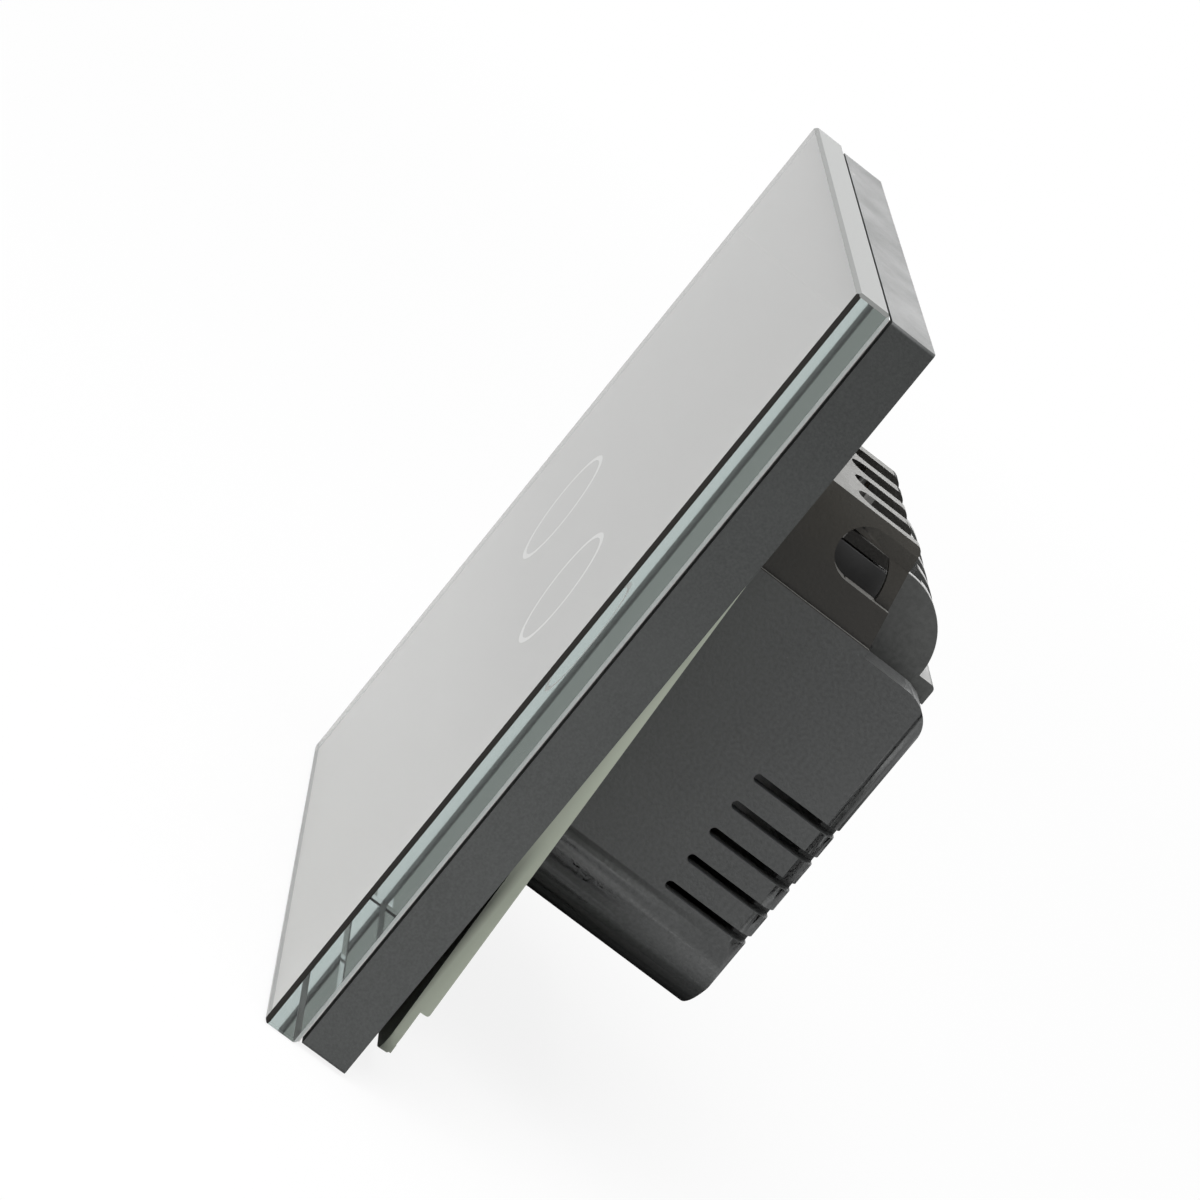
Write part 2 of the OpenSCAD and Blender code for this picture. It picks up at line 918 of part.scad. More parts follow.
// Terminal block: one cavity for each clamp, a mouth at the top and a hole for the screw
module terminal_block() {
    color([0.2, 0.2, 0.2])
        difference() {
            slab(block_left, block_right, power_rear, block_rear, block_low, block_high);
            for (k = [1:way_count])
                block_cavity(way_at(k));
            slab(block_right - cheek_t - turn_gap, far, cheek_front - turn_gap, far,
                comb_high - over - turn_gap, far);
            slab(-far, block_left + cheek_t + turn_gap, cheek_front - turn_gap, far,
                comb_high - over - turn_gap, far);
        }
}

module block_cavity(x) {
    half = channel_w / 2;
    slab(x - half, x + half, power_rear - over, block_rear - block_roof,
        block_low + block_wall, block_high - block_wall / 2);
    slab(x - half, x + half, mouth_low, mouth_high, screw_z, far);
    rod_y(thread_r + turn_gap, 0, far, x, screw_z);
}

// Barriers between the screws on one foot; the end ones have a cheek beside the block
module terminal_barriers() {
    color([0.24, 0.25, 0.25])
        union() {
            for (k = [1:way_count + 1])
                prism_x(barrier_at(k) - barrier_t / 2, barrier_at(k) + barrier_t / 2)
                    barrier_side(block_rear);
            prism_x(block_right - cheek_t, block_right)
                barrier_side(cheek_front);
            prism_x(block_left, block_left + cheek_t)
                barrier_side(cheek_front);
            prism_x(block_left, block_right)
                difference() {
                    translate([block_rear, comb_low])
                        square([comb_rear - block_rear, comb_high - comb_low]);
                    bite(comb_rear, comb_high, -1, -1, comb_r);
                }
        }
}

// Side view of a barrier from a depth to its rounded rear
module barrier_side(front) {
    intersection() {
        translate([front, comb_high - over])
            square(far);
        translate([barrier_mid_y, barrier_mid_z])
            circle(barrier_r);
    }
}

// Contact bars with a leg through the power board
module terminal_bars() {
    half = cage_half - cage_side - part_gap / 2;
    color([0.8, 0.66, 0.35])
        for (k = [1:way_count]) {
            x = way_at(k);
            slab(x - half, x + half, bar_rear - bar_t, bar_rear, bar_leg_z, cage_high);
            slab(x - bar_leg_half, x + bar_leg_half, power_rear, bar_rear,
                bar_leg_z, bar_leg_z + bar_t);
        }
}

module terminal_screw(k) {
    x = way_at(k);
    color([0.78, 0.77, 0.74])
        difference() {
            union() {
                rod_y(thread_r, screw_tip, head_front + over, x, screw_z);
                rod_y(head_r, head_front, head_front + head_t, x, screw_z);
            }
            slab(x - terminal_slot / 2, x + terminal_slot / 2, head_front + head_t / 2, far,
                screw_z - far, screw_z + far);
        }
}

module terminal_clamp(k) {
    x = way_at(k);
    color([0.72, 0.72, 0.7])
        difference() {
            slab(x - cage_half, x + cage_half, cage_front, cage_rear, cage_low, cage_high);
            slab(x - cage_half + cage_side, x + cage_half - cage_side,
                cage_front + cage_floor, cage_rear - cage_roof, cage_low - over, far);
            rod_y(thread_r + turn_gap, cage_rear - cage_roof - over, far, x, screw_z);
        }
}

// A relay's own axes: length along X, height along Y from the board, width across Z
module at_relay(n) {
    translate([relay_x, power_rear, relay_z[n]])
        children();
}

module relay_cases() {
    half = relay_w / 2;
    color([0.13, 0.13, 0.14])
        for (n = [0, 1])
            at_relay(n)
                difference() {
                    intersection() {
                        slab(0, relay_l, relay_foot, relay_h, -half, half);
                        prism_z(-far, far)
                            plot(0, relay_l, -over, relay_h, 0, relay_r);
                    }
                    slab(relay_wall, relay_l - relay_wall, -over, relay_h - relay_wall,
                        -half + relay_wall, half - relay_wall);
                }
}

module relay_bases() {
    inset = relay_wall + rest_gap;
    half = relay_w / 2 - inset;
    color([0.1, 0.1, 0.1])
        for (n = [0, 1])
            at_relay(n)
                union() {
                    slab(inset, relay_l - inset, 0, base_t, -half, half);
                    slab(inset, inset + relay_wall, base_t - over, base_rise, -half, half);
                }
}

module relay_coils() {
    flange = coil_r + flange_out;
    color([0.7, 0.4, 0.2])
        for (n = [0, 1])
            at_relay(n)
                difference() {
                    union() {
                        rod_y(coil_r, coil_low, coil_high, coil_l);
                        rod_y(flange, coil_low, coil_low + flange_t, coil_l);
                        rod_y(flange, coil_high - flange_t, coil_high, coil_l);
                    }
                    rod_y(core_r + turn_gap, 0, far, coil_l);
                }
}

// Yoke: foot under the coil, upright behind it and the core through it
module relay_yokes() {
    foot = coil_low - rest_gap - iron_t;
    pole = hinge_h - drop_at(coil_l - core_r) - rest_gap;
    color([0.5, 0.5, 0.52])
        for (n = [0, 1])
            at_relay(n)
                union() {
                    slab(coil_l - coil_r, hinge_l + iron_t / 2, foot, foot + iron_t,
                        -iron_half, iron_half);
                    slab(hinge_l - iron_t / 2, hinge_l + iron_t / 2, foot, hinge_h - rest_gap,
                        -iron_half, iron_half);
                    rod_y(core_r, foot + iron_t / 2, pole, coil_l);
                }
}

// Fixed contact of each relay, on a blade up from the base
module relay_contacts() {
    touch = hinge_h + contact_lift - drop_at(contact_l - contact_r) - rest_gap;
    seat = touch - button_t;
    foot = contact_l - contact_r;
    color([0.8, 0.6, 0.3])
        for (n = [0, 1])
            at_relay(n)
                union() {
                    slab(foot, foot + blade_t, base_t, seat, -blade_half, blade_half);
                    slab(foot, contact_l + contact_r, seat - blade_t, seat,
                        -blade_half, blade_half);
                    rod_y(contact_r, seat - blade_t / 2, touch, contact_l);
                }
}

// Leaf behind each yoke that lifts the armature again
module relay_return_springs() {
    back = hinge_l + iron_t / 2;
    bend = hinge_h + iron_t + rest_gap;
    color([0.76, 0.6, 0.34])
        for (n = [0, 1])
            at_relay(n)
                union() {
                    slab(back, back + leaf_t, hinge_h / 2, bend + leaf_t, -leaf_half, leaf_half);
                    slab(hinge_l + 2 * rest_gap, back + leaf_t, bend, bend + leaf_t,
                        -leaf_half, leaf_half);
                }
}

module relay_armature(n) {
    top = hinge_h + iron_t;
    color([0.6, 0.6, 0.62])
        at_relay(n)
            union() {
                slab(hinge_l - armature_l, hinge_l + iron_t / 2, hinge_h, top,
                    -iron_half, iron_half);
                slab(contact_l - contact_r, hinge_l - armature_l + arm_strip_half,
                    top - arm_strip_t * 3 / 4, top + arm_strip_t / 4,
                    -arm_strip_half, arm_strip_half);
                rod_y(contact_r, hinge_h + contact_lift, top, contact_l);
            }
}

// Supply parts on the power board. Transformer: two windows in the core, the winding through them
trafo_x = 9.8;
trafo_z = 2.5;
core_half_w = 6.7;
core_low = 1.2;
core_high = 11.6;
core_half_t = 3;
core_leg = 2.6;
wrap_gap = 0.1;
wrap_half = 5;
lead_r = 0.35;

module transformer_core() {
    color([0.2, 0.2, 0.21])
        translate([trafo_x, power_rear, trafo_z])
            difference() {
                slab(-core_half_w, core_half_w, core_low, core_high, -core_half_t, core_half_t);
                for (side = [0, 1])
                    mirror([side, 0, 0])
                        slab(core_leg / 2, core_half_w - core_leg, core_low + core_leg,
                            core_high - core_leg, -far, far);
            }
}

module transformer_winding() {
    reach = core_half_w - core_leg - wrap_gap;
    low = core_low + core_leg + wrap_gap;
    high = core_high - core_leg - wrap_gap;
    color([0.85, 0.7, 0.2])
        translate([trafo_x, power_rear, trafo_z])
            union() {
                difference() {
                    prism_y(low, high)
                        round_plot(reach, wrap_half, core_leg / 2);
                    slab(-core_leg / 2 - rest_gap, core_leg / 2 + rest_gap, 0, far,
                        -core_half_t - rest_gap, core_half_t + rest_gap);
                }
                for (side = [-1, 1], end = [-1, 1])
                    rod_y(lead_r, 0, low + over, side * core_leg, end * (wrap_half - 2 * lead_r));
            }
}

// Electrolytic can with a rolled groove near its foot
can_at = [7.2, -9.6];
can_r = 4;
can_h = 11.5;
can_groove = 0.35;
can_groove_y = 1.6;

module smoothing_capacitor() {
    color([0.1, 0.12, 0.2])
        translate([can_at[0], power_rear, can_at[1]])
            difference() {
                rod_y(can_r, 0, can_h);
                translate([0, can_groove_y, 0])
                    rotate([-90, 0, 0])
                        rotate_extrude()
                            translate([can_r, 0])
                                circle(can_groove);
            }
}

film_at = [-9.6, -14.6];
film_half_l = 6.5;
film_half_w = 2.6;
film_h = 11;
film_r = 0.5;

module film_capacitor() {
    color([0.75, 0.7, 0.2])
        translate([film_at[0], power_rear, film_at[1]])
            prism_y(0, film_h)
                round_plot(film_half_l, film_half_w, film_r);
}

disc_at = [15.4, -11];
disc_r = 3.8;
disc_t = 3.2;
disc_lift = 1.6;

module surge_varistor() {
    color([0.15, 0.35, 0.6])
        translate([disc_at[0], power_rear, disc_at[1]])
            union() {
                translate([0, disc_r + disc_lift, -disc_t / 2])
                    cylinder(r = disc_r, h = disc_t);
                for (side = [-1, 1])
                    rod_y(lead_r, 0, disc_lift + disc_r / 2, side * disc_r * 2 / 3);
            }
}

fuse_z = -20.9;
fuse_r = 1.7;
fuse_half = 5;
fuse_lift = 2;
fuse_lead = 7.3;

module fuse() {
    color([0.5, 0.62, 0.55])
        translate([0, power_rear, fuse_z])
            union() {
                rod_x(fuse_r, -fuse_half, fuse_half, fuse_lift);
                rod_x(lead_r, -fuse_lead - lead_r, fuse_lead + lead_r, fuse_lift);
                for (side = [-1, 1])
                    rod_y(lead_r, 0, fuse_lift + lead_r, side * fuse_lead);
            }
}

rectifier_at = [4, -16.4];
rectifier_l = 4.7;
rectifier_h = 2.4;
rectifier_legs = 2;

module rectifier() {
    color([0.07, 0.07, 0.07])
        chip(rectifier_at[0], power_rear, rectifier_at[1], rectifier_l, rectifier_h,
            rectifier_legs);
}

supply_chip_at = [18.9, -3.4];
supply_chip_legs = 4;

module supply_chip() {
    color([0.07, 0.07, 0.07])
        chip(supply_chip_at[0], power_rear, supply_chip_at[1], supply_chip_legs * chip_step,
            chip_h, supply_chip_legs);
}

glass_panel();
back_paint();
touch_ring_windows();
glass_adhesive();
front_frame();
mounting_plate();
plate_screws();
front_carrier();
touch_board();
touch_pads();
ring_light_guides();
indicator_leds();
touch_chip();
header_pins();
header_body();
header_socket();
power_board();
back_housing();
terminal_block();
terminal_barriers();
terminal_bars();
terminal_screw(1);  // terminal_screw_1
terminal_screw(2);  // terminal_screw_2
terminal_screw(3);  // terminal_screw_3
terminal_screw(4);  // terminal_screw_4
terminal_clamp(1);  // terminal_clamp_1
terminal_clamp(2);  // terminal_clamp_2
terminal_clamp(3);  // terminal_clamp_3
terminal_clamp(4);  // terminal_clamp_4
relay_cases();
relay_bases();
relay_coils();
relay_yokes();
relay_contacts();
relay_return_springs();
relay_armature(0);  // relay_armature_1
relay_armature(1);  // relay_armature_2
transformer_core();
transformer_winding();
smoothing_capacitor();
film_capacitor();
surge_varistor();
fuse();
rectifier();
supply_chip();
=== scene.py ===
import json

import bpy
from mathutils import Matrix, Vector


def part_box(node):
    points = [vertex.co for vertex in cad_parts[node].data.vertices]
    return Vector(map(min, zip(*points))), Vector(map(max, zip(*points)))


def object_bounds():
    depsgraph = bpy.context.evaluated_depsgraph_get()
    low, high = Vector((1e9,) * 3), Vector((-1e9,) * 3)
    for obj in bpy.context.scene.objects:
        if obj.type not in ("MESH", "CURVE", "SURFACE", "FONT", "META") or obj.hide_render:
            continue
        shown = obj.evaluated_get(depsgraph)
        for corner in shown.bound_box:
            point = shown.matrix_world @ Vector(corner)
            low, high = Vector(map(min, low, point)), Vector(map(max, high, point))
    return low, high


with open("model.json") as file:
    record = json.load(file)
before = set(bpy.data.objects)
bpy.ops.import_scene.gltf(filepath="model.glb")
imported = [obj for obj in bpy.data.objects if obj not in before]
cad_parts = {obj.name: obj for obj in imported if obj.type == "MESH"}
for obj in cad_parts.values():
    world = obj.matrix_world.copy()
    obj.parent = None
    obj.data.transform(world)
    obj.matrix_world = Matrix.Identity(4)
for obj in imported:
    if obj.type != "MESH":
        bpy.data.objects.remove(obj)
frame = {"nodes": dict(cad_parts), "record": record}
cad_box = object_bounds()
MM = 0.001

# Ground edges of the glass, from its front and from its back
FRONT_ARRIS = 0.48 * MM
REAR_ARRIS = 0.35 * MM

# Places on the part at which tones, painted light and painted shade change
PANEL_HALF = 43 * MM
LOWER_PART = (-20 * MM, -4 * MM)
TOP_SHADE_FROM = -18 * MM
TERMINAL_END = 14.6 * MM
PORT_FLOOR = 18 * MM
PORT_TOP = 23 * MM
END_WALL = 21.85 * MM

# The photograph's camera, in metres: where it stands and its axes
CAMERA_AT = Vector((0.468492, -0.081284, 0.096876))
CAMERA_RIGHT = Vector((0.00202, 0.78555, 0.61880))
CAMERA_DOWN = Vector((0.26087, 0.59695, -0.75868))
FOCAL_PIXELS = 4966
IMAGE_PIXELS = 1200
SENSOR_MM = 36


# Node helpers: each adds one node and returns the socket that carries its result

class Tree:
    """The node tree of one new material, with its Principled shader already joined to the output."""

    def __init__(self, name):
        self.material = bpy.data.materials.new(name)
        self.material.use_nodes = True
        self.nodes = self.material.node_tree.nodes
        self.links = self.material.node_tree.links
        self.nodes.clear()
        self.output = self.nodes.new("ShaderNodeOutputMaterial")
        self.shader = self.nodes.new("ShaderNodeBsdfPrincipled")
        self.links.new(self.shader.outputs["BSDF"], self.output.inputs["Surface"])

    def put(self, socket, value):
        """Joins an output to a socket, or sets the socket to a constant."""
        if isinstance(value, bpy.types.NodeSocket):
            self.links.new(value, socket)
        else:
            socket.default_value = value

    def set(self, **values):
        """Sets sockets of the Principled shader; an underscore stands for a space."""
        for name, value in values.items():
            self.put(self.shader.inputs[name.replace("_", " ")], value)

    def place(self, stretch=(1, 1, 1)):
        """Object coordinates in metres, stretched along the axes."""
        coordinates = self.nodes.new("ShaderNodeTexCoord").outputs["Object"]
        if stretch == (1, 1, 1):
            return coordinates
        mapping = self.nodes.new("ShaderNodeMapping")
        mapping.inputs["Scale"].default_value = stretch
        self.links.new(coordinates, mapping.inputs["Vector"])
        return mapping.outputs["Vector"]

    def noise(self, size, detail=2.0, stretch=(1, 1, 1), rough=0.5):
        """Noise whose features are about size metres across."""
        node = self.nodes.new("ShaderNodeTexNoise")
        node.inputs["Scale"].default_value = 1 / size
        node.inputs["Detail"].default_value = detail
        node.inputs["Roughness"].default_value = rough
        self.links.new(self.place(stretch), node.inputs["Vector"])
        return node.outputs["Fac"]

    def spots(self, size, share):
        """Small specks, 1 inside: cells of size metres, of which a share is filled."""
        node = self.nodes.new("ShaderNodeTexVoronoi")
        node.inputs["Scale"].default_value = 1 / size
        self.links.new(self.place(), node.inputs["Vector"])
        near = self.span(node.outputs["Distance"], 0.1, 0.2, 1, 0)
        parts = self.nodes.new("ShaderNodeSeparateColor")
        self.links.new(node.outputs["Color"], parts.inputs["Color"])
        chosen = self.span(parts.outputs["Red"], share, share * 1.01, 1, 0)
        return self.math("MULTIPLY", near, chosen)

    def span(self, value, low, high, to_low=0.0, to_high=1.0):
        """Maps low..high to to_low..to_high and holds the ends."""
        node = self.nodes.new("ShaderNodeMapRange")
        numbers = (low, high, to_low, to_high)
        for name, number in zip(("From Min", "From Max", "To Min", "To Max"), numbers):
            node.inputs[name].default_value = number
        self.put(node.inputs["Value"], value)
        return node.outputs["Result"]

    def math(self, operation, a, b=0.0):
        node = self.nodes.new("ShaderNodeMath")
        node.operation = operation
        self.put(node.inputs[0], a)
        self.put(node.inputs[1], b)
        return node.outputs[0]

    def blend(self, share, a, b):
        """Colour between a and b."""
        node = self.nodes.new("ShaderNodeMix")
        node.data_type = "RGBA"
        self.put(node.inputs["Factor"], share)
        for name, value in (("A", a), ("B", b)):
            socket = [s for s in node.inputs if s.name == name and s.type == "RGBA"][0]
            self.put(socket, value if isinstance(value, bpy.types.NodeSocket) else (*value, 1))
        return [s for s in node.outputs if s.type == "RGBA"][0]

    def bump(self, height, depth, under=None):
        """Relief of depth metres; under is a relief that this one lies on."""
        node = self.nodes.new("ShaderNodeBump")
        node.inputs["Strength"].default_value = 1
        node.inputs["Distance"].default_value = depth
        self.put(node.inputs["Height"], height)
        if under is not None:
            self.links.new(under, node.inputs["Normal"])
        return node.outputs["Normal"]

    def layer(self, share, colour, rough, under=None, most=1.0, sheen=0.5):
        """Lays a rough opaque coat over the shader, or over under, and joins it to the output."""
        coat = self.nodes.new("ShaderNodeBsdfPrincipled")
        self.put(coat.inputs["Base Color"], colour)
        coat.inputs["Roughness"].default_value = rough
        coat.inputs["Specular IOR Level"].default_value = sheen
        mix = self.nodes.new("ShaderNodeMixShader")
        self.put(mix.inputs["Fac"], self.math("MULTIPLY", share, most))
        self.links.new(under or self.shader.outputs["BSDF"], mix.inputs[1])
        self.links.new(coat.outputs["BSDF"], mix.inputs[2])
        self.links.new(mix.outputs["Shader"], self.output.inputs["Surface"])
        return mix.outputs["Shader"]

    def tilt(self, low, high, to_low=0.0, to_high=1.0):
        """How far a face looks up (1) or down (-1), mapped as in span."""
        parts = self.nodes.new("ShaderNodeSeparateXYZ")
        normal = self.nodes.new("ShaderNodeNewGeometry").outputs["Normal"]
        self.links.new(normal, parts.inputs["Vector"])
        return self.span(parts.outputs["Z"], low, high, to_low, to_high)

    def axis(self, letter):
        """One object coordinate, in metres."""
        parts = self.nodes.new("ShaderNodeSeparateXYZ")
        self.links.new(self.place(), parts.inputs["Vector"])
        return parts.outputs[letter]


def shade(colour, factor):
    return tuple(min(1, part * factor) for part in colour)


# Materials

DUST = (0.4, 0.4, 0.38)
MOULDED_GLOSS = 0.4


def moulded(name, colour, rough=0.45, grain=0.25 * MM, depth=0.012 * MM, dust=0.004, shade_to_top=0.0):
    """Moulded plastic: a fine spark-eroded grain, faint clouds of tone, a few specks of dust.

    A share of painted shade, given as the last argument, makes faces that don't look up darker and less
    glossy towards the top of the part.
    """
    tree = Tree(name)
    fine = tree.span(tree.noise(grain, 3), 0.3, 0.7)
    clouds = tree.noise(14 * MM, 4)
    tone = tree.blend(fine, shade(colour, 0.82), shade(colour, 1.18))
    tone = tree.blend(tree.span(clouds, 0.35, 0.7, 0, 0.4), tone, shade(colour, 1.3))
    specks = tree.math("MULTIPLY", tree.spots(1.1 * MM, dust), 0.6)
    tone = tree.blend(specks, tone, DUST)
    rub = tree.noise(9 * MM, 5, rough=0.65)
    # Painted shade: towards the top of the part, faces that don't look up get darker and less glossy
    height = tree.span(tree.axis("Z"), TOP_SHADE_FROM, PANEL_HALF, 0, shade_to_top)
    dull = tree.math("MULTIPLY", height, tree.tilt(0.2, 0.7, 1, 0))
    tone = tree.blend(tree.math("MULTIPLY", dull, 0.65), tone, shade(colour, 0.1))
    tree.set(Base_Color=tone, Specular_IOR_Level=tree.span(dull, 0, 1, MOULDED_GLOSS, 0))
    tree.set(Roughness=tree.span(rub, 0.3, 0.7, rough - 0.05, rough + 0.07))
    tree.set(Normal=tree.bump(fine, depth, tree.bump(rub, 0.02 * MM)))
    return tree


def plain_moulding(name, colour, rough=0.4):
    """Inner moulding with a smoother skin and slow sink marks."""
    tree = Tree(name)
    skin = tree.noise(0.6 * MM, 3)
    tree.set(Base_Color=tree.blend(skin, shade(colour, 0.85), shade(colour, 1.15)))
    tree.set(Roughness=tree.span(tree.noise(4 * MM, 4), 0.3, 0.7, rough - 0.06, rough + 0.06))
    tree.set(Normal=tree.bump(skin, 0.006 * MM))
    return tree


def drawn_metal(name, colour, rough, stretch):
    """Rolled or turned metal with lines along its working direction and small stains."""
    tree = Tree(name)
    lines = tree.noise(0.9 * MM, 3, stretch)
    stain = tree.noise(5 * MM, 5, rough=0.6)
    tone = tree.blend(lines, shade(colour, 0.88), shade(colour, 1.08))
    tone = tree.blend(tree.span(stain, 0.5, 0.75, 0, 0.35), tone, shade(colour, 0.7))
    tree.set(Base_Color=tone, Metallic=1.0)
    tree.set(Roughness=tree.span(stain, 0.3, 0.7, rough - 0.06, rough + 0.1))
    tree.set(Normal=tree.bump(lines, 0.004 * MM))
    return tree


def dipped(name, colour, rough, lumps):
    """Epoxy, lacquer or tape: glossy with soft lumps and pinholes."""
    tree = Tree(name)
    lump = tree.noise(lumps, 3)
    tone = tree.blend(lump, shade(colour, 0.8), shade(colour, 1.2))
    tree.set(Base_Color=tree.blend(tree.spots(0.5 * MM, 0.02), tone, shade(colour, 0.45)))
    tree.set(Roughness=tree.span(lump, 0.3, 0.7, rough - 0.04, rough + 0.08))
    tree.set(Normal=tree.bump(lump, 0.05 * MM), Coat_Weight=0.25, Coat_Roughness=0.08)
    return tree


GLASS_INDEX = 1.56
GLASS_TINT = (0.09, 0.235, 0.21, 1)
TINT_DENSITY = 10
FROST_INSIDE = (0.08, 0.09, 0.085)


def clear_glass(name):
    """Clear tempered glass, tinted in its depth.

    The front arris is painted dark from outside, for the dark parts it refracts, and is clear from
    inside. The rear one is frosted, the top is matt.
    """
    tree = Tree(name)
    tree.set(Transmission_Weight=1.0, IOR=GLASS_INDEX, Roughness=0.0, Base_Color=(1, 1, 1, 1))
    tree.set(Normal=tree.bump(tree.noise(30 * MM, 1), 0.002 * MM))
    low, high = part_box("glass_panel")
    depth_in = tree.math("SUBTRACT", tree.axis("Y"), low.y)
    ground = tree.noise(0.3 * MM, 3)
    past_front = tree.math("GREATER_THAN", depth_in, 0.004 * MM)
    front = tree.math("MULTIPLY", past_front, tree.math("LESS_THAN", depth_in, FRONT_ARRIS))
    within = tree.nodes.new("ShaderNodeNewGeometry").outputs["Backfacing"]
    # Painted shade on the front arris, seen from outside: it stands for the dark parts that the arris
    # refracts
    painted_dark_arris = tree.blend(ground, (0.007, 0.006, 0.005), (0.015, 0.013, 0.011))
    outside = tree.math("SUBTRACT", 1, within)
    dark = tree.layer(tree.math("MULTIPLY", front, outside), painted_dark_arris, 0.6, sheen=0.2)
    rear = tree.math("GREATER_THAN", depth_in, high.y - low.y - REAR_ARRIS)
    frost = tree.blend(ground, (0.66, 0.7, 0.69), (0.78, 0.82, 0.81))
    pale = tree.layer(rear, tree.blend(within, frost, FROST_INSIDE), 0.5, dark, 0.9)
    top = tree.math("GREATER_THAN", tree.axis("Z"), high.z - 0.05 * MM)
    near_top = tree.math("GREATER_THAN", tree.axis("Z"), high.z - 0.6 * MM)
    top_arris = tree.math("MULTIPLY", near_top, tree.tilt(0.4, 0.5))
    edge_tone = tree.blend(ground, (0.1, 0.105, 0.1), (0.12, 0.125, 0.12))
    tree.layer(tree.math("MAXIMUM", top, top_arris), edge_tone, 0.4, pale)
    tint = tree.nodes.new("ShaderNodeVolumeAbsorption")
    tint.inputs["Color"].default_value = GLASS_TINT
    tint.inputs["Density"].default_value = TINT_DENSITY
    tree.links.new(tint.outputs["Volume"], tree.output.inputs["Volume"])
    return tree


def back_paint(name):
    """Paint fired on the back of the glass. From inside the glass it mirrors at a low angle. Painted
    light makes it lighter towards the bottom and towards the far side.
    """
    tree = Tree(name)
    colour = (0.5, 0.495, 0.475)
    fine = tree.noise(0.12 * MM, 2)
    tone = tree.blend(fine, shade(colour, 0.91), shade(colour, 0.97))
    # Painted light: lighter towards the bottom, most at the very bottom, and lighter towards the far
    # side
    lower = tree.span(tree.axis("Z"), *LOWER_PART, 1, 0)
    tone = tree.blend(lower, tone, shade(colour, 1.16))
    lowest = tree.span(tree.axis("Z"), -PANEL_HALF, -22 * MM, 0.8, 0)
    tone = tree.blend(lowest, tone, shade(colour, 1.34))
    far_side = tree.span(tree.axis("X"), -PANEL_HALF, PANEL_HALF, 0.09, 0)
    tone = tree.blend(far_side, tone, (0.8, 0.79, 0.76))
    tree.set(Base_Color=tone, Roughness=0.5, Specular_IOR_Level=0.1)
    mirror = tree.nodes.new("ShaderNodeBsdfGlossy")
    mirror.inputs["Color"].default_value = (0.94, 0.96, 0.96, 1)
    mirror.inputs["Roughness"].default_value = 0.02
    facing = tree.nodes.new("ShaderNodeLayerWeight")
    facing.inputs["Blend"].default_value = 0.5
    mix = tree.nodes.new("ShaderNodeMixShader")
    tree.put(mix.inputs["Fac"], tree.span(facing.outputs["Facing"], 0.76, 0.84))
    tree.links.new(tree.shader.outputs["BSDF"], mix.inputs[1])
    tree.links.new(mirror.outputs["BSDF"], mix.inputs[2])
    tree.links.new(mix.outputs["Shader"], tree.output.inputs["Surface"])
    return tree


def milky(name, colour, rough=0.35, glow=0.0):
    """Translucent ink or light guide; a painted glow, of the given strength, stands for the light that
    seeps through it.
    """
    tree = Tree(name)
    haze = tree.noise(0.2 * MM, 2)
    tone = tree.blend(haze, shade(colour, 0.95), shade(colour, 1.03))
    tree.set(Base_Color=tone, Roughness=rough, Specular_IOR_Level=0.3)
    tree.set(Emission_Color=(1, 1, 1, 1), Emission_Strength=glow)
    return tree


def circuit_board(name):
    """Green solder mask with a faint glass weave under it."""
    tree = Tree(name)
    colour = (0.02, 0.12, 0.055)
    weave = tree.nodes.new("ShaderNodeTexWave")
    weave.inputs["Scale"].default_value = 1 / (2.5 * MM)
    weave.inputs["Distortion"].default_value = 1.5
    tree.links.new(tree.place(), weave.inputs["Vector"])
    tracks = tree.nodes.new("ShaderNodeTexBrick")
    tracks.inputs["Scale"].default_value = 1 / (6 * MM)
    tracks.inputs["Mortar Size"].default_value = 0.03
    tree.links.new(tree.place(), tracks.inputs["Vector"])
    tone = tree.blend(tree.math("MULTIPLY", weave.outputs["Fac"], 0.3), colour, shade(colour, 1.8))
    tone = tree.blend(tree.math("MULTIPLY", tracks.outputs["Fac"], 0.6), tone, shade(colour, 2.3))
    tree.set(Base_Color=tone, Roughness=tree.span(tree.noise(3 * MM), 0.3, 0.7, 0.22, 0.32))
    tree.set(Normal=tree.bump(tracks.outputs["Fac"], 0.03 * MM), Coat_Weight=0.2)
    return tree


def plate_metal(name):
    """Zinc plate with a dull green-grey passivation. Painted light makes its upper part lighter, and a
    painted shadow of the panel darkens it low down beside the panel.
    """
    tree = Tree(name)
    colour = (0.37, 0.40, 0.33)
    cloud = tree.noise(6 * MM, 5, rough=0.6)
    lines = tree.noise(0.5 * MM, 3, (1, 8, 1))
    tone = tree.blend(cloud, shade(colour, 0.85), shade(colour, 1.12))
    tone = tree.blend(tree.math("MULTIPLY", lines, 0.25), tone, shade(colour, 0.75))
    # Painted light on the upper part
    upper = tree.span(tree.axis("Z"), *LOWER_PART, 0, 0.75)
    tone = tree.blend(upper, tone, shade(colour, 1.45))
    # Painted shadow of the panel, low down and close beside it
    beside = tree.span(tree.axis("Y"), 0.9 * MM, 1.7 * MM, 1, 0)
    below = tree.span(tree.axis("Z"), -22 * MM, -14 * MM, 1, 0)
    tone = tree.blend(tree.math("MULTIPLY", beside, below), tone, shade(colour, 0.3))
    tree.set(Base_Color=tone, Metallic=0.35)
    tree.set(Roughness=tree.span(cloud, 0.3, 0.7, 0.42, 0.58))
    tree.set(Normal=tree.bump(lines, 0.004 * MM))
    return tree


DEEP_SHADE = (0.002, 0.002, 0.002)
# Painted sheen on faces of the terminal end that look up
PAINTED_TOP_SHEEN = (0.19, 0.187, 0.178)


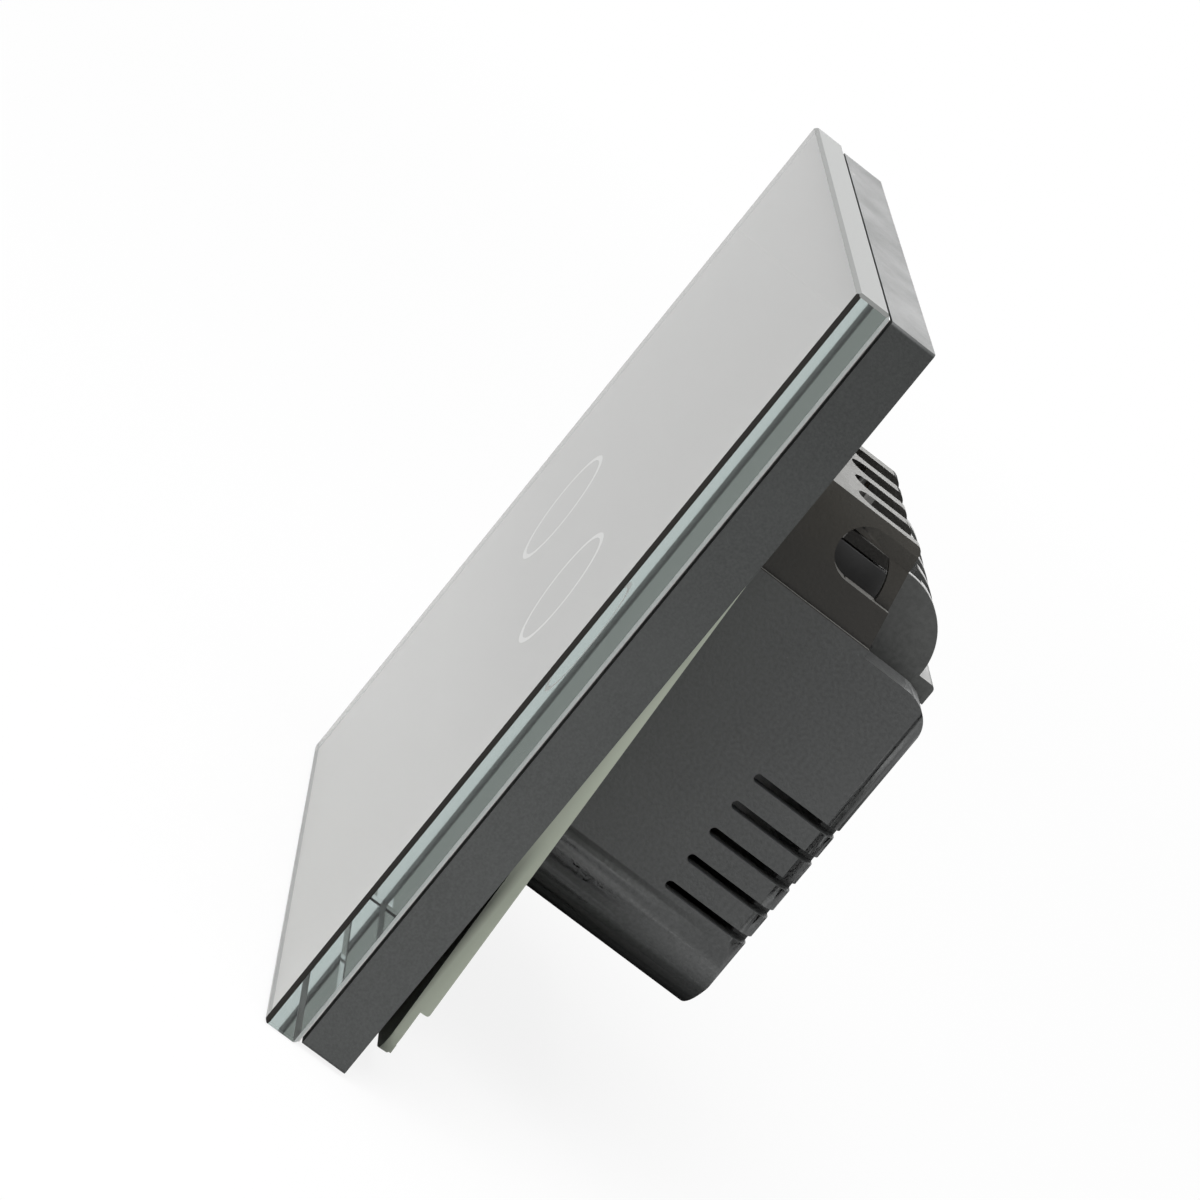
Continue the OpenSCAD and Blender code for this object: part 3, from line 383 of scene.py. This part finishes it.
def housing(name):
    """Rear housing: grained body, with a smoother, browner tone on the raised terminal end. Painted
    light lifts the front of the body, painted shade darkens its foot, and on the terminal end painted
    shade darkens the port, the gaps between the ribs and the recesses, while faces that look up get a
    painted sheen.
    """
    tree = moulded(name, (0.062, 0.064, 0.064), 0.5, 0.4 * MM, 0.03 * MM, 0.008, shade_to_top=0.2)
    body_tone = tree.shader.inputs["Base Color"].links[0].from_socket
    # Painted light: the front of the body is lighter, where the frame shades it
    front = tree.span(tree.axis("Y"), 5 * MM, 16 * MM, 0.25, 0)
    body_tone = tree.blend(front, body_tone, (0.12, 0.122, 0.122))
    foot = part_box("back_housing")[0].z
    # Painted shade: the rounding at the foot is dark
    rounding = tree.span(tree.axis("Z"), foot, foot + 5 * MM, 0.85, 0)
    body_tone = tree.blend(rounding, body_tone, (0.006, 0.006, 0.006))
    smooth = tree.noise(3 * MM, 4)
    end_tone = tree.blend(smooth, (0.030, 0.027, 0.022), (0.040, 0.036, 0.030))
    # Painted shade: the terminal end is darker low down, by the port
    low_part = tree.span(tree.axis("Z"), PORT_FLOOR, PORT_TOP, 0.5, 0)
    end_tone = tree.blend(low_part, end_tone, DEEP_SHADE)
    high_part = tree.span(tree.axis("Z"), PORT_TOP - 0.5 * MM, PORT_TOP + 2 * MM, 0, 0.4)
    end_tone = tree.blend(high_part, end_tone, (0.072, 0.068, 0.061))
    # Painted shade between the ribs, inboard of the end wall
    between_ribs = tree.span(tree.axis("X"), END_WALL, END_WALL + 0.1 * MM, 0.6, 0)
    end_tone = tree.blend(between_ribs, end_tone, (0.004, 0.004, 0.004))
    # Painted shade in the recesses, found by ambient occlusion
    recess = tree.nodes.new("ShaderNodeAmbientOcclusion")
    recess.samples = 6
    recess.inputs["Distance"].default_value = 2.5 * MM
    hidden = tree.span(recess.outputs["AO"], 0.35, 0.85, 0.95, 0)
    end_tone = tree.blend(hidden, end_tone, DEEP_SHADE)
    # Painted sheen: faces that look up are lighter
    end_tone = tree.blend(tree.tilt(0.6, 0.95), end_tone, PAINTED_TOP_SHEEN)
    above = tree.span(tree.axis("Z"), TERMINAL_END, TERMINAL_END + 0.1 * MM)
    tree.set(Base_Color=tree.blend(above, body_tone, end_tone))
    gloss = tree.shader.inputs["Specular IOR Level"].links[0].from_socket
    # Painted shade: less gloss near the foot
    clear_of_foot = tree.span(tree.axis("Z"), foot + 2 * MM, foot + 6 * MM)
    tree.set(Specular_IOR_Level=tree.math("MULTIPLY", gloss, clear_of_foot))
    return tree


def barrier(name):
    """Barriers between the terminals: smoother than the housing, with a painted sheen on faces that look
    up.
    """
    tree = moulded(name, (0.064, 0.066, 0.064), 0.36, 0.5 * MM, 0.008 * MM)
    tone = tree.shader.inputs["Base Color"].links[0].from_socket
    # Painted sheen: faces that look up are lighter
    tree.set(Base_Color=tree.blend(tree.tilt(0.6, 0.95), tone, (0.15, 0.15, 0.145)))
    return tree


# How each material slot of the record is made
SLOT_MATERIALS = {
    "glass": clear_glass,
    "back_paint": back_paint,
    # The ring ink has a faint painted glow
    "ring_ink": lambda n: milky(n, (0.72, 0.72, 0.7), 0.5, 0.12),
    "adhesive": lambda n: plain_moulding(n, (0.12, 0.12, 0.118), 0.7),
    # The frame gets painted shade towards its top
    "frame_plastic": lambda n: moulded(n, (0.058, 0.061, 0.06), 0.42, shade_to_top=0.5),
    "plate_steel": plate_metal,
    "screw_steel": lambda n: drawn_metal(n, (0.62, 0.61, 0.58), 0.28, (1, 6, 1)),
    "carrier_plastic": lambda n: plain_moulding(n, (0.04, 0.04, 0.04)),
    "board": circuit_board,
    "copper": lambda n: drawn_metal(n, (0.78, 0.4, 0.22), 0.3, (1, 12, 1)),
    "diffuser": lambda n: milky(n, (0.85, 0.86, 0.82)),
    "led": lambda n: dipped(n, (0.9, 0.84, 0.45), 0.12, 0.8 * MM),
    "chip_plastic": lambda n: plain_moulding(n, (0.02, 0.02, 0.02), 0.5),
    "pin_gold": lambda n: drawn_metal(n, (0.85, 0.65, 0.27), 0.22, (1, 12, 1)),
    "header_plastic": lambda n: plain_moulding(n, (0.018, 0.018, 0.018), 0.35),
    "housing_plastic": housing,
    "terminal_plastic": lambda n: plain_moulding(n, (0.03, 0.03, 0.03), 0.4),
    "barrier_plastic": barrier,
    "brass": lambda n: drawn_metal(n, (0.8, 0.58, 0.28), 0.25, (1, 1, 12)),
    "terminal_steel": lambda n: drawn_metal(n, (0.66, 0.65, 0.62), 0.3, (1, 10, 1)),
    "relay_plastic": lambda n: plain_moulding(n, (0.02, 0.02, 0.025), 0.22),
    "relay_iron": lambda n: drawn_metal(n, (0.5, 0.5, 0.5), 0.35, (10, 1, 1)),
    "ferrite": lambda n: plain_moulding(n, (0.05, 0.05, 0.055), 0.45),
    "winding_tape": lambda n: dipped(n, (0.75, 0.56, 0.06), 0.2, 2 * MM),
    "capacitor_sleeve": lambda n: dipped(n, (0.015, 0.025, 0.07), 0.2, 3 * MM),
    "film_box": lambda n: dipped(n, (0.62, 0.48, 0.07), 0.3, 2 * MM),
    "varistor_coat": lambda n: dipped(n, (0.03, 0.12, 0.4), 0.25, 1 * MM),
    "fuse_coat": lambda n: dipped(n, (0.3, 0.42, 0.32), 0.2, 1 * MM),
}


# Edges of these plastics get a painted highlight, pale and shiny: colour, roughness, grain, relief
EDGE_HIGHLIGHT_LOOKS = {
    "frame_plastic": ((0.085, 0.088, 0.086), 0.3, 0.3 * MM, 0.004 * MM),
    "housing_plastic": ((0.15, 0.14, 0.12), 0.3, 0.3 * MM, 0.004 * MM),
    "barrier_plastic": ((0.12, 0.122, 0.118), 0.25, 0.3 * MM, 0.004 * MM),
}

# Softened edges of the moulded and pressed pieces: node, width of the edge in mm
SOFT_EDGES = {
    "front_frame": 0.15,
    "mounting_plate": 0.2,
    "back_housing": 0.12,
    "terminal_barriers": 0.15,
    "terminal_block": 0.1,
}
LEAST_ANGLE = 0.7


def dress_nodes():
    """Gives each node the material of its slot, and a second one with a painted highlight for its edges.
    """
    made = {slot: make(slot).material for slot, make in SLOT_MATERIALS.items()}
    highlight_materials = {slot: moulded(slot + "_edge", *look).material for slot, look in EDGE_HIGHLIGHT_LOOKS.items()}
    for part in frame["record"]["subparts"]:
        mesh = frame["nodes"][part["node"]].data
        slot = part["material_slot"]
        mesh.materials.clear()
        mesh.materials.append(made[slot])
        if slot in highlight_materials:
            mesh.materials.append(highlight_materials[slot])


def soften_edges():
    """Rounds the sharp edges; the rounding takes the node's last material."""
    for node, width in SOFT_EDGES.items():
        piece = frame["nodes"][node]
        weld = piece.modifiers.new("weld", "WELD")
        weld.merge_threshold = 0.001 * MM
        bevel = piece.modifiers.new("edges", "BEVEL")
        bevel.width = width * MM
        bevel.segments = 2
        bevel.limit_method = "ANGLE"
        bevel.angle_limit = LEAST_ANGLE
        bevel.harden_normals = True
        bevel.use_clamp_overlap = True
        bevel.material = len(piece.data.materials) - 1


def press_paint_into_glass():
    """The paint and the ring ink wet the glass: their front sits a hair inside its back face."""
    for node in ("back_paint", "touch_ring_windows"):
        press = frame["nodes"][node].modifiers.new("wet", "DISPLACE")
        press.direction = "Y"
        press.mid_level = 0
        press.strength = -0.01 * MM


# Studio

def add_camera():
    """Camera of the photograph."""
    camera = bpy.data.cameras.new("camera")
    camera.sensor_width = SENSOR_MM
    camera.lens = FOCAL_PIXELS / IMAGE_PIXELS * SENSOR_MM
    camera.clip_start = 0.01
    holder = bpy.data.objects.new("camera", camera)
    bpy.context.scene.collection.objects.link(holder)
    right = CAMERA_RIGHT.normalized()
    up = -CAMERA_DOWN.normalized()
    back = right.cross(up)
    turn = Matrix((right, up, back)).transposed()
    holder.matrix_world = Matrix.Translation(CAMERA_AT) @ turn.to_4x4()
    bpy.context.scene.camera = holder


def seen_white(nodes, links):
    """1 for the rays that show the background: straight, mirrored or through glass."""
    path = nodes.new("ShaderNodeLightPath")
    seen = path.outputs["Is Camera Ray"]
    for ray in ("Is Transmission Ray", "Is Glossy Ray"):
        either = nodes.new("ShaderNodeMath")
        either.operation = "MAXIMUM"
        links.new(seen, either.inputs[0])
        links.new(path.outputs[ray], either.inputs[1])
        seen = either.outputs[0]
    return seen


def add_world(fill=0.4):
    """White to the rays that see it, and a fill light of the given strength to the rest."""
    world = bpy.data.worlds.new("studio")
    bpy.context.scene.world = world
    world.use_nodes = True
    nodes = world.node_tree.nodes
    links = world.node_tree.links
    background = nodes["Background"]
    background.inputs["Color"].default_value = (1, 1, 1, 1)
    level = nodes.new("ShaderNodeMapRange")
    level.inputs["To Min"].default_value = fill
    level.inputs["To Max"].default_value = 1
    links.new(seen_white(nodes, links), level.inputs["Value"])
    links.new(level.outputs["Result"], background.inputs["Strength"])


def add_floor(low, keep_shadow=0.14):
    """Pale floor that reads white to the camera and keeps part of the object's shadow."""
    side = 6
    mesh = bpy.data.meshes.new("floor")
    corners = [(x, y, low) for x, y in ((-side, -side), (side, -side), (side, side), (-side, side))]
    mesh.from_pydata(corners, [], [(0, 1, 2, 3)])
    floor = bpy.data.objects.new("floor", mesh)
    bpy.context.scene.collection.objects.link(floor)
    tree = Tree("floor")
    seen = seen_white(tree.nodes, tree.links)
    grey = tree.blend(seen, (0.36, 0.36, 0.36), (0.8, 0.8, 0.8))
    clouds = tree.math("MULTIPLY", tree.noise(0.2), 0.04)
    tree.set(Base_Color=tree.blend(clouds, grey, (0.7, 0.7, 0.7)))
    tree.set(Roughness=0.9, Specular_IOR_Level=0.0)
    glow = tree.nodes.new("ShaderNodeEmission")
    glow.inputs["Color"].default_value = (1, 1, 1, 1)
    mix = tree.nodes.new("ShaderNodeMixShader")
    away = tree.nodes.new("ShaderNodeVectorMath")
    away.operation = "LENGTH"
    tree.links.new(tree.place(), away.inputs[0])
    far_share = tree.span(away.outputs["Value"], 0.2, 0.6, 1 - keep_shadow, 1)
    path = tree.nodes.new("ShaderNodeLightPath")
    close = tree.span(away.outputs["Value"], 0.07, 0.2, 1, 0)
    behind = tree.span(tree.axis("Y"), -0.03, -0.005)
    mirrored = tree.math("SUBTRACT", path.outputs["Is Glossy Ray"], path.outputs["Is Transmission Ray"])
    dim = tree.math("MULTIPLY", tree.math("MAXIMUM", mirrored, 0), tree.math("MULTIPLY", close, behind))
    share = tree.math("MULTIPLY", seen, far_share)
    share = tree.math("MULTIPLY", share, tree.math("SUBTRACT", 1, dim))
    tree.put(mix.inputs["Fac"], share)
    tree.links.new(tree.shader.outputs["BSDF"], mix.inputs[1])
    tree.links.new(glow.outputs["Emission"], mix.inputs[2])
    tree.links.new(mix.outputs["Shader"], tree.output.inputs["Surface"])
    mesh.materials.append(tree.material)


def add_softbox(name, at, size, watts, aim=(0, 0, 0)):
    lamp = bpy.data.lights.new(name, "AREA")
    lamp.shape = "RECTANGLE"
    lamp.size, lamp.size_y = size
    lamp.energy = watts
    holder = bpy.data.objects.new(name, lamp)
    bpy.context.scene.collection.objects.link(holder)
    holder.location = at
    holder.rotation_euler = (Vector(aim) - Vector(at)).to_track_quat("-Z", "Y").to_euler()
    holder.visible_camera = False
    holder.visible_transmission = False


def add_flag():
    """Grey card beyond the far end of the glass. Only light that has gone through glass sees it."""
    low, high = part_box("glass_panel")
    x = low.x - 30 * MM
    y = low.y - 1 * MM
    near_y = y - 0.25
    foot = low.z + 0.2 * MM
    head = 0.2
    card = [(x, y, foot), (x, near_y, foot), (x, near_y, head), (x, y, head)]
    by_glass = low.x - 0.5 * MM
    apron = [(x, high.y - 1 * MM, foot), (by_glass, high.y - 1 * MM, foot)]
    apron += [(by_glass, near_y, foot), (x, near_y, foot)]
    mesh = bpy.data.meshes.new("flag")
    mesh.from_pydata(card + apron, [], [(0, 1, 2, 3), (4, 5, 6, 7)])
    flag = bpy.data.objects.new("flag", mesh)
    bpy.context.scene.collection.objects.link(flag)
    tree = Tree("flag")
    even = tree.nodes.new("ShaderNodeEmission")
    felt = tree.noise(40 * MM)
    tree.put(even.inputs["Color"], tree.blend(felt, (0.37, 0.37, 0.35), (0.39, 0.39, 0.37)))
    tree.links.new(even.outputs["Emission"], tree.output.inputs["Surface"])
    mesh.materials.append(tree.material)
    flag.visible_camera = False
    flag.visible_diffuse = False
    flag.visible_glossy = False
    flag.visible_shadow = False


FLOOR_GAP = 0.05 * MM

dress_nodes()
soften_edges()
press_paint_into_glass()
add_camera()
add_world()
add_floor(cad_box[0][2] - FLOOR_GAP)
add_softbox("top", (0.4, -0.3, 1.1), (1.1, 1.1), 16)
add_softbox("side", (0.8, -0.9, 0.35), (0.8, 0.8), 5)
add_softbox("back", (-1.2, 0.2, 0.3), (0.8, 0.6), 2)
add_flag()
bpy.context.scene.view_settings.view_transform = "Standard"
